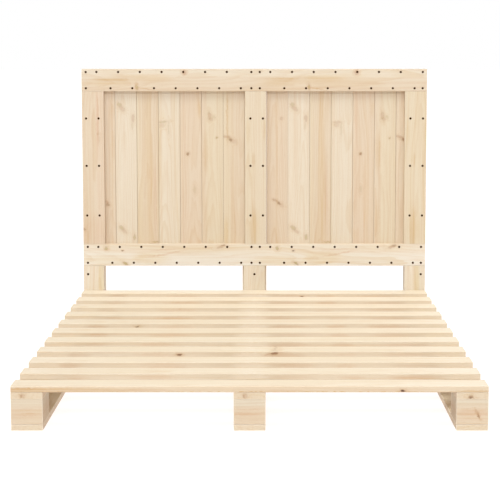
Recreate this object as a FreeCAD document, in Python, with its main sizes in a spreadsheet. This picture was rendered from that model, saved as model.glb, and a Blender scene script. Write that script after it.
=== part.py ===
import FreeCAD
import Part

import math
import os

import Sketcher

# A pine bed frame for a mattress of 1600 x 2000 mm, in millimetres, with +Z up.
# The foot end faces -Y and the headboard stands at +Y. The origin lies on the floor,
# under the middle of the bed's whole outline.
#
# Three lines of pallet blocks run from foot to head. Each line is a skid on the floor,
# three blocks on it and a runner on top, and the slats lie across the three runners.
# The headboard is a frame of two rails and three stiles in front of upright planks.
# Three posts behind the planks and three legs under the frame carry it, and bolts hold
# posts and legs to the last blocks.

SIZES = {
    # The deck
    "deck_width": 1600,
    "slat_count": 11,
    "slat_width": 100,
    "slat_gap": 90,
    "slat_thickness": 21,
    # The lines under the deck
    "line_width": 107,
    "runner_thickness": 23,
    "block_depth": 145,
    "block_height": 87,
    "skid_thickness": 21,
    # The headboard
    "headboard_height": 1187,
    "low_rail_height": 268,
    "rail_width": 103,
    "frame_thickness": 20,
    "stile_width": 102,
    # The whole planks, counted on each side of the middle one, and the ripped strips at the ends
    "planks_per_side": 7,
    "plank_gap": 0.6,
    "plank_thickness": 20,
    "left_strip_width": 51.2,
    "right_strip_width": 39.2,
    # The legs in front and the posts behind
    "leg_width": 96,
    "centre_leg_width": 101,
    "centre_post_width": 112,
    "post_thickness": 40,
    # The planed edge along every board
    "edge_ease": 1.5,
    # The countersunk screws
    "screw_head_diameter": 9,
    "screw_head_height": 2.6,
    "screw_diameter": 4,
    "screw_clearance": 0.2,
    "screw_cover": 5,
    "post_screw_bite": 28,
    # Where the screws stand
    "rail_row_inset": 14,
    "plank_screw_inset": 17.5,
    "centre_screw_spacing": 39,
    "end_screw_inset": 20,
    "stile_screw_spacing": 58,
    "left_stile_screw_shift": -3,
    "other_stile_screw_shift": 5,
    "low_stile_screw_inset": 134,
    "middle_stile_screw_rise": 10,
    "high_stile_screw_inset": 126,
    "leg_screw_drop": 40,
    # The bolts through post and leg into the last blocks
    "bolt_head_diameter": 15,
    "bolt_head_height": 5.3,
    "bolt_diameter": 8,
    "bolt_clearance": 0.5,
    "bolt_bite": 46,
    "bolt_spacing": 44,
    "bolt_recess_diameter": 22,
    "bolt_recess_depth": 8,
    # The square nails hidden in the deck and the lines
    "nail_width": 3,
    "nail_cover": 6,
    "block_nail_length": 46,
    "block_nail_spacing_x": 50,
    "block_nail_spacing_y": 72,
}

# What follows from the sizes, in the order in which it is worked out
LAYOUT = {
    "half_width": "Sizes.deck_width / 2",
    "slat_pitch": "Sizes.slat_width + Sizes.slat_gap",
    "deck_length": "(Sizes.slat_count - 1) * slat_pitch + Sizes.slat_width",
    "leg_thickness": "Sizes.frame_thickness + Sizes.plank_thickness",
    "bed_length": "deck_length + leg_thickness + Sizes.post_thickness",
    "foot_y": "-bed_length / 2",
    "head_y": "foot_y + deck_length",
    "plank_y": "head_y + Sizes.frame_thickness",
    "post_y": "head_y + leg_thickness",
    "back_y": "post_y + Sizes.post_thickness",
    "runner_z": "Sizes.skid_thickness + Sizes.block_height",
    "slat_z": "runner_z + Sizes.runner_thickness",
    "high_rail_z": "Sizes.headboard_height - Sizes.rail_width",
    "stile_z": "Sizes.low_rail_height + Sizes.rail_width",
    "stile_length": "high_rail_z - stile_z",
    "plank_length": "Sizes.headboard_height - Sizes.low_rail_height",
    "whole_planks": "2 * Sizes.planks_per_side + 1",
    "plank_room": "Sizes.deck_width - Sizes.left_strip_width - Sizes.right_strip_width",
    "plank_width": "(plank_room - (whole_planks + 1) * Sizes.plank_gap) / whole_planks",
    "plank_pitch": "plank_width + Sizes.plank_gap",
    "first_plank_x": "Sizes.left_strip_width + Sizes.plank_gap - half_width",
    "middle_plank_x": "first_plank_x + Sizes.planks_per_side * plank_pitch + plank_width / 2",
    "end_strip_x": "half_width - Sizes.right_strip_width",
    "rail_screw_length": "leg_thickness - Sizes.screw_cover",
    "post_screw_length": "leg_thickness + Sizes.post_screw_bite",
    "bolt_passage": "Sizes.post_thickness + leg_thickness - Sizes.bolt_recess_depth",
    "bolt_length": "bolt_passage + Sizes.bolt_bite",
    "deck_nail_length": "Sizes.runner_thickness + Sizes.slat_thickness - Sizes.nail_cover",
}

# Hundreds of fasteners are kept light: screws and bolts have six flat sides, nails four
FASTENER_SIDES = 6

SIDES = ("left", "centre", "right")
BLOCK_PLACES = ("front", "middle", "rear")
PLANES = {"X": "YZ_Plane", "Y": "XZ_Plane", "Z": "XY_Plane"}
AXES = {
    "X": FreeCAD.Vector(1, 0, 0),
    "Y": FreeCAD.Vector(0, 1, 0),
    "Z": FreeCAD.Vector(0, 0, 1),
}
UP = AXES["Z"]
DOWN = -AXES["Z"]
TO_HEAD = AXES["Y"]
TO_FOOT = -AXES["Y"]

doc = FreeCAD.newDocument("bed_frame")


def filled_sheet(name, cells):
    """A spreadsheet with a line for each named cell."""
    sheet = doc.addObject("Spreadsheet::Sheet", name)
    for row, (alias, content) in enumerate(cells.items(), start=1):
        sheet.set(f"A{row}", alias)
        sheet.set(f"B{row}", content)
        sheet.setAlias(f"B{row}", alias)
    doc.recompute()
    return sheet


sizes = filled_sheet("Sizes", {alias: str(number) for alias, number in SIZES.items()})
layout = filled_sheet("Layout", {alias: "=" + formula for alias, formula in LAYOUT.items()})


def bound(kind, name, links):
    """A document object whose properties follow expressions."""
    thing = doc.addObject(kind, name)
    for prop, expression in links.items():
        thing.setExpression(prop, expression)
    return thing


# Boards


def draw_rectangle(sketch, wide, high):
    """Four constrained lines with a corner on the sketch's origin, from a unit square."""
    corners = [FreeCAD.Vector(x, y, 0) for x, y in ((0, 0), (1, 0), (1, 1), (0, 1))]
    for start, end in zip(corners, corners[1:] + corners[:1]):
        sketch.addGeometry(Part.LineSegment(start, end), False)
    for side in range(4):
        sketch.addConstraint(Sketcher.Constraint("Coincident", side, 2, (side + 1) % 4, 1))
        sketch.addConstraint(Sketcher.Constraint(("Horizontal", "Vertical")[side % 2], side))
    sketch.addConstraint(Sketcher.Constraint("Coincident", 0, 1, -1, 1))
    wide_index = sketch.addConstraint(Sketcher.Constraint("DistanceX", 0, 1, 0, 2, 1))
    high_index = sketch.addConstraint(Sketcher.Constraint("DistanceY", 1, 1, 1, 2, 1))
    sketch.renameConstraint(wide_index, "wide")
    sketch.renameConstraint(high_index, "high")
    sketch.setExpression("Constraints.wide", wide)
    sketch.setExpression("Constraints.high", high)


def sawn_board(label, grain, size, corner):
    """A body: the board's section, padded along its grain. Sizes and corner are expressions."""
    body = doc.addObject("PartDesign::Body", label + "_body")
    section = body.newObject("Sketcher::SketchObject", label + "_section")
    plane = next(f for f in body.Origin.OriginFeatures if f.Role == PLANES[grain])
    section.AttachmentSupport = [(plane, "")]
    section.MapMode = "FlatFace"
    wide, high = (text for axis, text in zip("XYZ", size) if axis != grain)
    draw_rectangle(section, wide, high)
    pad = body.newObject("PartDesign::Pad", label + "_sawn")
    pad.Profile = section
    pad.setExpression("Length", size["XYZ".index(grain)])
    # The XZ plane faces -Y, so a board along Y is padded the other way
    pad.Reversed = grain == "Y"
    for axis, expression in zip("xyz", corner):
        body.setExpression("Placement.Base." + axis, expression)
    return body


def ease_edges(body, grain):
    """The plane's small chamfer along the four edges that follow the grain."""
    sawn = body.Tip
    names = []
    for number, edge in enumerate(sawn.Shape.Edges, start=1):
        run = edge.tangentAt(edge.FirstParameter)
        if abs(run.dot(AXES[grain])) > abs(run.cross(AXES[grain]).Length):
            names.append(f"Edge{number}")
    eased = body.newObject("PartDesign::Chamfer", body.Name + "_eased")
    eased.Base = (sawn, names)
    eased.setExpression("Size", "Sizes.edge_ease")


# Fasteners. Each master starts at the origin, at the face that it enters, and runs along +Z.


def prism(name, diameter, start, height):
    """A six-sided bar, from one height to another along its axis."""
    bar = bound(
        "Part::Prism",
        name,
        {"Circumradius": f"({diameter}) / 2", "Height": height, "Placement.Base.z": start},
    )
    bar.Polygon = FASTENER_SIDES
    return bar


def ring(diameter, height):
    """The corners of a six-sided outline, as a prism has them."""
    corners = []
    for step in range(FASTENER_SIDES):
        angle = math.tau * step / FASTENER_SIDES
        corners.append(FreeCAD.Vector(math.cos(angle), math.sin(angle), 0) * (diameter / 2))
    return [corner + UP * height for corner in corners]


def sunk_head(name):
    """The screw's tapered head with flat sides, which is also the shape of its sink."""
    rim = ring(sizes.screw_head_diameter, 0)
    neck = ring(sizes.screw_diameter, sizes.screw_head_height)
    outlines = [rim, neck]
    for side in range(FASTENER_SIDES):
        following = (side + 1) % FASTENER_SIDES
        outlines.append([rim[side], rim[following], neck[following], neck[side]])
    faces = [Part.Face(Part.makePolygon(outline + outline[:1])) for outline in outlines]
    head = doc.addObject("Part::Feature", name)
    head.Shape = Part.Solid(Part.Shell(faces))
    return head


def joined(name, first, second):
    """Two solids fused into one, without a seam between flat faces."""
    fusion = doc.addObject("Part::Fuse", name)
    fusion.Base = first
    fusion.Tool = second
    fusion.Refine = True
    return fusion


def screw(name, length):
    under = "Sizes.screw_head_height"
    head = sunk_head(name + "_head")
    shank = prism(name + "_shank", "Sizes.screw_diameter", under, f"{length} - {under}")
    return joined(name, head, shank)


def screw_bore(name, depth):
    """The sink and clearance hole in the first board that a screw passes through."""
    sink = sunk_head(name + "_sink")
    passage = prism(name + "_passage", "Sizes.screw_diameter + 2 * Sizes.screw_clearance", "0", depth)
    return joined(name, sink, passage)


def screw_pilot(name, start, length):
    """The hole that a screw fills in the boards behind the first."""
    return prism(name, "Sizes.screw_diameter", start, f"{length} - ({start})")


def bolt(name):
    """A six-sided head that stands on the recess floor, which lies at the origin."""
    height = "Sizes.bolt_head_height"
    head = prism(name + "_head", "Sizes.bolt_head_diameter", "-" + height, height)
    shank = prism(name + "_shank", "Sizes.bolt_diameter", "0", "Layout.bolt_length")
    return joined(name, head, shank)


def nail(name, length):
    """A plain square nail, centred on its axis."""
    bar = bound(
        "Part::Box",
        name,
        {
            "Length": "Sizes.nail_width",
            "Width": "Sizes.nail_width",
            "Height": length,
            "Placement.Base.x": "-Sizes.nail_width / 2",
            "Placement.Base.y": "-Sizes.nail_width / 2",
        },
    )
    return bar


def copies(master, places, direction):
    """The master's solid at each place, turned so that it runs in the given direction."""
    turn = FreeCAD.Rotation(UP, direction)
    solids = []
    for place in places:
        solid = master.Shape.Solids[0].copy()
        solid.Placement = FreeCAD.Placement(place, turn).multiply(solid.Placement)
        solids.append(solid)
    return solids


screw_kinds = {
    "rail": ("Layout.rail_screw_length", "Sizes.frame_thickness"),
    "stile": ("Layout.post_screw_length", "Sizes.frame_thickness"),
    "leg": ("Layout.post_screw_length", "Layout.leg_thickness"),
}
masters = {}
for kind, (length, depth) in screw_kinds.items():
    masters[kind + "_screw"] = screw(kind + "_screw", length)
    masters[kind + "_bore"] = screw_bore(kind + "_bore", depth)
    masters[kind + "_pilot"] = screw_pilot(kind + "_pilot", depth, length)
masters["bolt"] = bolt("bolt")
masters["bolt_bore"] = joined(
    "bolt_bore",
    prism(
        "bolt_recess",
        "Sizes.bolt_recess_diameter",
        "-Sizes.bolt_recess_depth",
        "Sizes.bolt_recess_depth",
    ),
    prism("bolt_hole", "Sizes.bolt_diameter + 2 * Sizes.bolt_clearance", "0", "Layout.bolt_passage"),
)
masters["bolt_pilot"] = prism("bolt_pilot", "Sizes.bolt_diameter", "0", "Layout.bolt_length")
masters["deck_nail"] = nail("deck_nail", "Layout.deck_nail_length")
masters["block_nail"] = nail("block_nail", "Sizes.block_nail_length")
doc.recompute()


# Where the fasteners stand


def line_centres():
    """The x of each line of blocks."""
    outer = layout.half_width - sizes.line_width / 2
    return (-outer, 0, outer)


def block_starts():
    """The y of each block's side towards the foot."""
    span = layout.deck_length - sizes.block_depth
    return [layout.foot_y + span * step / (len(BLOCK_PLACES) - 1) for step in range(len(BLOCK_PLACES))]


def rail_screw_places():
    """Two rows in each rail. A whole plank has a screw near its left edge in the upper row
    and one near its right edge in the lower row. The middle plank has two in each row,
    and the strip at each end has one."""
    places = []
    end_x = layout.half_width - sizes.end_screw_inset
    shared = [-end_x, end_x]
    for side in (-1, 1):
        shared.append(layout.middle_plank_x + side * sizes.centre_screw_spacing / 2)
    for rail_z in (sizes.low_rail_height, layout.high_rail_z):
        lower_z = rail_z + sizes.rail_row_inset
        upper_z = rail_z + sizes.rail_width - sizes.rail_row_inset
        for x in shared:
            places.append(FreeCAD.Vector(x, layout.head_y, lower_z))
            places.append(FreeCAD.Vector(x, layout.head_y, upper_z))
        for number in range(int(layout.whole_planks)):
            if number == sizes.planks_per_side:
                continue
            left_x = layout.first_plank_x + number * layout.plank_pitch
            right_x = left_x + layout.plank_width
            places.append(FreeCAD.Vector(left_x + sizes.plank_screw_inset, layout.head_y, upper_z))
            places.append(FreeCAD.Vector(right_x - sizes.plank_screw_inset, layout.head_y, lower_z))
    return places


def stile_screw_places():
    """Pairs at three heights, which reach through stile and plank into the post."""
    outer = layout.half_width - sizes.stile_width / 2
    middles = (
        -outer + sizes.left_stile_screw_shift,
        layout.middle_plank_x + sizes.other_stile_screw_shift,
        outer + sizes.other_stile_screw_shift,
    )
    rises = (
        sizes.low_stile_screw_inset,
        layout.stile_length / 2 + sizes.middle_stile_screw_rise,
        layout.stile_length - sizes.high_stile_screw_inset,
    )
    places = []
    for middle in middles:
        for rise in rises:
            for side in (-1, 1):
                x = middle + side * sizes.stile_screw_spacing / 2
                places.append(FreeCAD.Vector(x, layout.head_y, layout.stile_z + rise))
    return places


def leg_screw_places():
    """One screw high in each leg."""
    outer = layout.half_width - sizes.end_screw_inset
    height = sizes.low_rail_height - sizes.leg_screw_drop
    return [FreeCAD.Vector(x, layout.head_y, height) for x in (-outer, 0, outer)]


def bolt_places():
    """Two bolts side by side at half the block's height, from the back of each post."""
    outer = layout.half_width - sizes.leg_width / 2
    y = layout.back_y - sizes.bolt_recess_depth
    z = sizes.skid_thickness + sizes.block_height / 2
    return [
        FreeCAD.Vector(centre + side * sizes.bolt_spacing / 2, y, z)
        for centre in (-outer, 0, outer)
        for side in (-1, 1)
    ]


def deck_nail_places():
    """One nail up through each runner into each slat."""
    first = layout.foot_y + sizes.slat_width / 2
    return [
        FreeCAD.Vector(centre, first + number * layout.slat_pitch, layout.runner_z)
        for centre in line_centres()
        for number in range(int(sizes.slat_count))
    ]


def block_nail_places(height):
    """Two nails on the diagonal of each block, at the height of their outer ends."""
    return [
        FreeCAD.Vector(
            centre + side * sizes.block_nail_spacing_x / 2,
            start + sizes.block_depth / 2 + side * sizes.block_nail_spacing_y / 2,
            height,
        )
        for centre in line_centres()
        for start in block_starts()
        for side in (-1, 1)
    ]


rail_places = rail_screw_places()
stile_places = stile_screw_places()
leg_places = leg_screw_places()
low_nail_places = block_nail_places(0)
high_nail_places = block_nail_places(layout.slat_z)

fasteners = {
    "rail_screws": copies(masters["rail_screw"], rail_places, TO_HEAD),
    "stile_screws": copies(masters["stile_screw"], stile_places, TO_HEAD),
    "leg_screws": copies(masters["leg_screw"], leg_places, TO_HEAD),
    "post_bolts": copies(masters["bolt"], bolt_places(), TO_FOOT),
    "deck_nails": copies(masters["deck_nail"], deck_nail_places(), UP),
    "block_nails": copies(masters["block_nail"], low_nail_places, UP)
    + copies(masters["block_nail"], high_nail_places, DOWN),
}
rail_bores = copies(masters["rail_bore"], rail_places, TO_HEAD)
rail_pilots = copies(masters["rail_pilot"], rail_places, TO_HEAD)
stile_bores = copies(masters["stile_bore"], stile_places, TO_HEAD)
stile_pilots = copies(masters["stile_pilot"], stile_places, TO_HEAD)
leg_bores = copies(masters["leg_bore"], leg_places, TO_HEAD)
leg_pilots = copies(masters["leg_pilot"], leg_places, TO_HEAD)
bolt_bores = copies(masters["bolt_bore"], bolt_places(), TO_FOOT)
bolt_pilots = copies(masters["bolt_pilot"], bolt_places(), TO_FOOT)

# Every board: its grain, its size, its lowest corner and the holes that may cross it


boards = {}


def board(label, grain, size, corner, holes):
    boards[label] = (grain, sawn_board(label, grain, size, corner), holes)


def place_in_line(side, width):
    """The left edge of a piece in the left, centre or right line."""
    return {
        "left": "-Layout.half_width",
        "centre": f"-{width} / 2",
        "right": f"Layout.half_width - {width}",
    }[side]


def make_slats():
    for number in range(int(sizes.slat_count)):
        board(
            f"slat_{number + 1:02d}",
            "X",
            ("Sizes.deck_width", "Sizes.slat_width", "Sizes.slat_thickness"),
            ("-Layout.half_width", f"Layout.foot_y + {number} * Layout.slat_pitch", "Layout.slat_z"),
            fasteners["deck_nails"],
        )


def make_lines():
    for side in SIDES:
        x = place_in_line(side, "Sizes.line_width")
        board(
            "skid_" + side,
            "Y",
            ("Sizes.line_width", "Layout.deck_length", "Sizes.skid_thickness"),
            (x, "Layout.foot_y", "0"),
            fasteners["block_nails"],
        )
        board(
            "runner_" + side,
            "Y",
            ("Sizes.line_width", "Layout.deck_length", "Sizes.runner_thickness"),
            (x, "Layout.foot_y", "Layout.runner_z"),
            fasteners["block_nails"] + fasteners["deck_nails"],
        )
        for step, place in enumerate(BLOCK_PLACES):
            free = "(Layout.deck_length - Sizes.block_depth)"
            board(
                f"block_{side}_{place}",
                "X",
                ("Sizes.line_width", "Sizes.block_depth", "Sizes.block_height"),
                (x, f"Layout.foot_y + {step} * {free} / {len(BLOCK_PLACES) - 1}", "Sizes.skid_thickness"),
                fasteners["block_nails"] + bolt_pilots,
            )


def make_rails():
    for name, height in (("bottom_rail", "Sizes.low_rail_height"), ("top_rail", "Layout.high_rail_z")):
        board(
            name,
            "X",
            ("Sizes.deck_width", "Sizes.frame_thickness", "Sizes.rail_width"),
            ("-Layout.half_width", "Layout.head_y", height),
            rail_bores,
        )


def make_stiles():
    for side in SIDES:
        # The centre stile covers the middle plank, edge to edge
        width = "Layout.plank_width" if side == "centre" else "Sizes.stile_width"
        x = f"Layout.middle_plank_x - {width} / 2" if side == "centre" else place_in_line(side, width)
        board(
            "stile_" + side,
            "Z",
            (width, "Sizes.frame_thickness", "Layout.stile_length"),
            (x, "Layout.head_y", "Layout.stile_z"),
            stile_bores,
        )


def make_planks():
    """A ripped strip, then the whole planks, then another ripped strip, from left to right."""
    columns = [("Sizes.left_strip_width", "-Layout.half_width")]
    for number in range(int(layout.whole_planks)):
        columns.append(("Layout.plank_width", f"Layout.first_plank_x + {number} * Layout.plank_pitch"))
    columns.append(("Sizes.right_strip_width", "Layout.end_strip_x"))
    for number, (width, x) in enumerate(columns, start=1):
        board(
            f"plank_{number:02d}",
            "Z",
            (width, "Sizes.plank_thickness", "Layout.plank_length"),
            (x, "Layout.plank_y", "Sizes.low_rail_height"),
            rail_pilots + stile_pilots,
        )


def make_legs_and_posts():
    for side in SIDES:
        leg_width = "Sizes.centre_leg_width" if side == "centre" else "Sizes.leg_width"
        post_width = "Sizes.centre_post_width" if side == "centre" else "Sizes.leg_width"
        board(
            "leg_" + side,
            "Z",
            (leg_width, "Layout.leg_thickness", "Sizes.low_rail_height"),
            (place_in_line(side, leg_width), "Layout.head_y", "0"),
            leg_bores + bolt_bores,
        )
        board(
            "post_" + side,
            "Z",
            (post_width, "Sizes.post_thickness", "Sizes.headboard_height"),
            (place_in_line(side, post_width), "Layout.post_y", "0"),
            stile_pilots + leg_pilots + bolt_bores,
        )


make_slats()
make_lines()
make_rails()
make_stiles()
make_planks()
make_legs_and_posts()
doc.recompute()

for grain, body, _ in boards.values():
    ease_edges(body, grain)
doc.recompute()

# The drilled boards and the groups of fasteners are the parts


def solid_group(name, solids):
    """Separate solids in one object."""
    group = doc.addObject("Part::Feature", name)
    group.Shape = Part.makeCompound(solids)
    return group


def drilled(label, body, holes):
    """The board with the holes that cross it taken out."""
    box = body.Shape.BoundBox
    crossing = [hole for hole in holes if box.intersect(hole.BoundBox)]
    cut = doc.addObject("Part::Cut", label)
    cut.Base = body
    cut.Tool = solid_group(label + "_holes", crossing)
    return cut


nodes = [drilled(label, body, holes) for label, (_, body, holes) in boards.items()]
nodes += [solid_group(name, solids) for name, solids in fasteners.items()]
doc.recompute()


def check():
    """Stops the build at any failed object, empty or faulty shape, or board left undrilled."""
    for thing in doc.Objects:
        if "Invalid" in thing.State or "Error" in thing.State:
            raise RuntimeError("failed: " + thing.Label)
    for node in nodes:
        if node.Shape.isNull() or not node.Shape.isValid():
            raise RuntimeError("no good shape: " + node.Label)
        if node.TypeId == "Part::Cut":
            if len(node.Shape.Solids) != 1:
                raise RuntimeError("not one solid: " + node.Label)
            if not node.Shape.Volume < node.Base.Shape.Volume:
                raise RuntimeError("nothing drilled: " + node.Label)


check()
os.makedirs("parts", exist_ok=True)
for node in nodes:
    node.Shape.exportStep(f"parts/{node.Label}.step")
print(len(nodes), "parts written")
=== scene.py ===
import math
import random
from collections import namedtuple

import bmesh
import bpy
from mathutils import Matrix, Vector


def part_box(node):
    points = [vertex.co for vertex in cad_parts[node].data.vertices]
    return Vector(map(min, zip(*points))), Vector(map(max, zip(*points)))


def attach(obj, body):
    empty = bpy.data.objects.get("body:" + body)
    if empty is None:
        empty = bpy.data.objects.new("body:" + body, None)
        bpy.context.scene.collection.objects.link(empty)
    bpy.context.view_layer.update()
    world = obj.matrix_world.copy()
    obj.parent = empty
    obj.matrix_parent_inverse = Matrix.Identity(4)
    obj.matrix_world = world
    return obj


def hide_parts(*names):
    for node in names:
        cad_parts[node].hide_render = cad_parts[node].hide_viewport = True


bl_info = {
    "name": "Pine pallet bed",
    "version": (1, 0, 0),
    "blender": (4, 5, 0),
    "location": "3D View > Sidebar > Bed",
    "description": "Dresses the boards, screws, bolts and nails of a pine bed frame and lights it",
    "category": "Object",
}

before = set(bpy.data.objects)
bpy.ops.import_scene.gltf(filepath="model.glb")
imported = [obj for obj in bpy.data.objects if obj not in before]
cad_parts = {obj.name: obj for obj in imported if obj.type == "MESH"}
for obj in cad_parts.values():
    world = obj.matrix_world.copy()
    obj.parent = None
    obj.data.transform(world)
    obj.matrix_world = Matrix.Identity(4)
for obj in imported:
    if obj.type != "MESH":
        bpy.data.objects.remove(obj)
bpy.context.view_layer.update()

# A millimetre, and a length in millimetres that no board reaches
MM = 0.001
FAR = 1e6


# Colours and looks


def paint(red, green, blue):
    """A colour as a screen shows it, from 0 to 255, as the linear colour that the shader takes."""
    linear = []
    for part in (red, green, blue):
        share = part / 255
        linear.append(share / 12.92 if share <= 0.04045 else ((share + 0.055) / 1.055) ** 2.4)
    return tuple(linear)


# The tint that a stain, a ring or a knot lays over the wood's own colour.
# The first tint makes a place paler, which is painted light; the edge tint is painted shade.
TINTS = {
    # Painted light: it makes the slats' fronts paler over the lines of blocks
    "painted_light": (1.11, 1.19, 1.37),
    "gold": paint(255, 251, 232),
    "honey": paint(247, 236, 213),
    "amber": paint(242, 229, 208),
    "rose": paint(246, 234, 221),
    "blush": paint(244, 227, 214),
    "late": paint(238, 219, 190),
    "fibre": paint(238, 227, 210),
    "canal": paint(222, 202, 176),
    "sawn": paint(214, 206, 196),
    # Painted shade on the narrow faces of the boards
    "edge": paint(238, 222, 205),
    "halo": paint(235, 218, 198),
    "rim": paint(182, 154, 126),
    "scratch": paint(150, 140, 130),
}

# A knot or a stain is an oval with its middle at x and z and its long axis turned from upright,
# all in millimetres and degrees in the frame. It runs through the board from front to back.
# A knot is brown, pink, olive or as dark as bark.
Knot = namedtuple("Knot", "x z wide tall turn dark hue", defaults=(0, 0.8, "brown"))
Stain = namedtuple("Stain", "x z wide tall turn tint strength", defaults=(0, "rose", 0.5))

# A board has a tone at its low side and one at its high side, which meet softly at the edge
# between them, and its pith lies this far off its middle, across and through the board.
# Its sawn ends are darker than its faces by one share, as end grain is, and on the blocks partly as
# painted shade. Its narrow faces are darker by another share, which is painted shade, and its corners
# are made pale by a third: wear, and where the share is large, painted light in the shaded seams.
Look = namedtuple(
    "Look",
    "tones meet pith knots stains ends edges rubbed",
    defaults=(None, None, (), (), 0.5, 0.45, 0.22),
)

# Pale knots that the cream planks and the planks with two tones share, from a plank's left edge
CREAM_KNOTS = [
    Knot(20, 1022, 9, 8, -40, 0.38, "olive"),
    Knot(32, 1002, 14, 8, -35, 0.34, "pink"),
    Knot(84, 958, 6, 15, 4, 0.4, "pink"),
    Knot(79, 922, 3, 16, 0, 0.16, "olive"),
    Knot(24, 445, 12, 8, -40, 0.42, "olive"),
    Knot(40, 428, 12, 6, -35, 0.3, "pink"),
    Knot(85, 401, 6, 12, 0, 0.46, "olive"),
]
TWIN_KNOTS = [
    Knot(37, 970, 6, 16, 6, 0.44, "pink"),
    Knot(44, 953, 9, 6, 0, 0.3, "pink"),
    Knot(57, 965, 8, 6, -30, 0.18, "olive"),
    Knot(71, 867, 4, 4, 0, 0.7, "olive"),
]
BRANCH_KNOTS = [
    Knot(16, 872, 15, 5, -12, 0.5, "pink"),
    Knot(35, 858, 8, 6, -30, 0.65),
    Knot(52, 851, 14, 8, -30, 0.22, "pink"),
]


def moved(marks, distance):
    """The same marks on another board."""
    return [mark._replace(x=mark.x + distance) for mark in marks]


PLANKS = {
    1: Look(("tan", "tan")),
    2: Look(
        ("rose", "tan"),
        knots=[Knot(-689, 566, 8, 4, -30, 0.4, "pink"), Knot(-686, 554, 8, 6, -30, 0.46)],
        stains=[Stain(-664, 800, 6, 500, 0, "honey", 0.5)],
    ),
    3: Look(("cream", "cream"), knots=moved(CREAM_KNOTS, -648)),
    4: Look(
        ("straw", "tan"),
        meet=-530,
        knots=[Knot(-462, 378, 16, 3, 0, 0.5, "olive")],
        stains=[Stain(-489, 760, 15, 520, 1, "honey", 0.45), Stain(-465, 560, 8, 200, 0, "blush", 0.5)],
    ),
    5: Look(
        ("straw", "cream"),
        meet=-440,
        knots=[
            Knot(-425, 942, 18, 4, 5, 0.34, "olive"),
            Knot(-430, 926, 11, 8, 0, 0.22, "pink"),
            Knot(-399, 910, 3, 26, 0, 0.24, "olive"),
        ],
    ),
    6: Look(
        ("rose", "tan"),
        knots=[Knot(-310, 792, 6, 6, 0, 0.62), Knot(-279, 626, 6, 15, 0, 0.2, "olive")],
        stains=[Stain(-257, 1000, 7, 40, 0, "honey", 0.8), Stain(-330, 700, 8, 420, 0, "blush", 0.2)],
    ),
    7: Look(
        ("tan", "straw"),
        meet=-220,
        knots=moved(TWIN_KNOTS, -246),
        stains=[Stain(-226, 800, 10, 90, 0, "amber", 0.7), Stain(-228, 480, 12, 110, 0, "amber", 0.5)],
    ),
    8: Look(
        ("straw", "tan"),
        meet=-112,
        knots=moved(BRANCH_KNOTS, -146),
        stains=[Stain(-127, 960, 4, 120, 0, "late", 0.8), Stain(-133, 420, 10, 70, 0, "honey", 0.9)],
    ),
    9: Look(("tan", "straw")),
    10: Look(
        ("rose", "tan"),
        knots=[
            Knot(126, 957, 6, 6, 0, 0.35, "pink"),
            Knot(96, 574, 10, 4, -25, 0.55, "pink"),
            Knot(115, 561, 8, 6, -30, 0.6),
            Knot(128, 551, 12, 8, -30, 0.22, "pink"),
        ],
        stains=[Stain(104, 800, 5, 480, 0, "honey", 0.5)],
    ),
    11: Look(("pale", "cream"), knots=moved(CREAM_KNOTS, 157)),
    12: Look(
        ("straw", "tan"),
        meet=276,
        knots=[Knot(343, 378, 16, 3, 0, 0.45, "olive")],
        stains=[Stain(316, 760, 15, 520, 1, "honey", 0.4), Stain(338, 560, 8, 200, 0, "blush", 0.5)],
    ),
    13: Look(
        ("straw", "cream"),
        meet=364,
        knots=[
            Knot(386, 940, 17, 4, 5, 0.3, "pink"),
            Knot(383, 926, 11, 8, 0, 0.28, "pink"),
            Knot(405, 908, 3, 26, 0, 0.22, "olive"),
        ],
    ),
    14: Look(
        ("rose", "tan"),
        knots=[Knot(495, 792, 6, 6, 0, 0.6), Knot(497, 626, 6, 15, 0, 0.2, "olive")],
        stains=[
            Stain(520, 600, 9, 200, 0, "honey", 0.4),
            Stain(549, 1000, 6, 40, 0, "honey", 0.5),
            Stain(476, 700, 8, 420, 0, "blush", 0.15),
        ],
    ),
    15: Look(
        ("tan", "straw"),
        meet=586,
        knots=moved(TWIN_KNOTS, 560),
        stains=[Stain(578, 800, 10, 90, 0, "amber", 0.7), Stain(576, 480, 12, 110, 0, "amber", 0.5)],
    ),
    16: Look(("tan", "rose"), meet=694, knots=moved(BRANCH_KNOTS, 660)),
    17: Look(("straw", "straw")),
}

TOP_STREAKS = [
    Stain(138, 1137, 9, 66, 90, "amber", 0.65),
    Stain(70, 1115, 7, 60, 90, "honey", 0.3),
    Stain(130, 1129, 17, 100, 90, "honey", 0.75),
    Stain(325, 1143, 17, 95, 90, "honey", 0.65),
    Stain(230, 1152, 8, 62, 88, "honey", 0.4),
    Stain(254, 1107, 7, 18, 6, "amber", 0.9),
    Stain(297, 1095, 3, 40, 80, "late", 0.6),
    Stain(474, 1171, 15, 15, 0, "blush", 1.0),
]
TOP_KNOTS = [
    Knot(253, 1103, 5, 10, 10, 0.4, "olive"),
    Knot(474, 1171, 8, 8, 0, 0.4, "pink"),
]
LOW_KNOTS = [
    Knot(106, 350, 7, 8, 0, 0.55, "olive"),
    Knot(182, 339, 4.5, 3, 0, 0.65, "bark"),
    Knot(196, 279, 11, 4.5, -30, 0.8, "olive"),
    Knot(645, 358, 17, 5, 18, 0.5, "pink"),
    Knot(652, 364, 9, 4, 10, 0.35),
]
LOW_STREAKS = [
    Stain(387, 324, 4, 85, 101, "blush", 0.8),
    Stain(395, 345, 3.5, 70, 93, "blush", 0.5),
    Stain(112, 352, 14, 14, 0, "honey", 0.5),
    Stain(260, 305, 8, 30, 100, "honey", 0.5),
    Stain(110, 292, 24, 120, 90, "honey", 0.65),
    Stain(315, 302, 30, 80, 90, "honey", 0.7),
    Stain(600, 352, 14, 150, 90, "honey", 0.35),
]

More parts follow.
